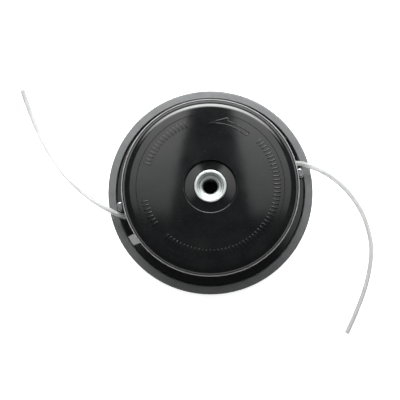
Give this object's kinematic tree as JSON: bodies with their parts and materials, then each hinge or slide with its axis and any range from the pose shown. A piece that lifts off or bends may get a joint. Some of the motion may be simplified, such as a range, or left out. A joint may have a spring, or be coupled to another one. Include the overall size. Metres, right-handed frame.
{
  "type": "trimmer head",
  "caption": "Tap-and-go string trimmer head: glossy domed housing, satin flanged cap, sprung bump knob, metal line outlets with loose line ends, and a threaded drive nut.",
  "frame": {"origin": "centre of the flat foot of the bump knob, the lowest face, on the drive axis", "axes": "+Z up along the drive axis, out of the nut towards the machine; +X to the right and +Y up in the picture, so the line outlets lie near +X and -X"},
  "size_m": [0.2305, 0.1602, 0.0585],
  "materials": {
    "housing": "gloss",
    "cap": "satin",
    "knob": "satin",
    "spool": "satin",
    "zinc_steel": "zinc plated",
    "spring_steel": "drawn wire",
    "eyelet_metal": "polished",
    "line": "extruded nylon"
  },
  "bodies": {
    "housing": {"upper_housing": "housing", "bottom_cap": "cap", "drive_nut": "zinc_steel", "eyelet_right": "eyelet_metal", "eyelet_left": "eyelet_metal", "feed_spring": "spring_steel", "line_tail_right": "line", "line_tail_left": "line"},
    "thrust_washer": {"thrust_washer": "zinc_steel"},
    "spool": {"spool": "spool", "bump_knob": "knob", "line_winding_lower": "line", "line_winding_upper": "line"}
  },
  "joints": [
    {"name": "tap_slide", "type": "slide", "parent": "housing", "child": "thrust_washer", "axis": [0, 0, 1], "range_m": [0, 0.005], "stiffness_N_per_m": 1000, "springref_m": -0.012, "deforming": ["feed_spring"]},
    {"name": "spool_turn", "type": "hinge", "parent": "thrust_washer", "child": "spool", "pos_m": [0, 0, 0], "axis": [0, 0, 1], "range_deg": [0, 66]}
  ]
}
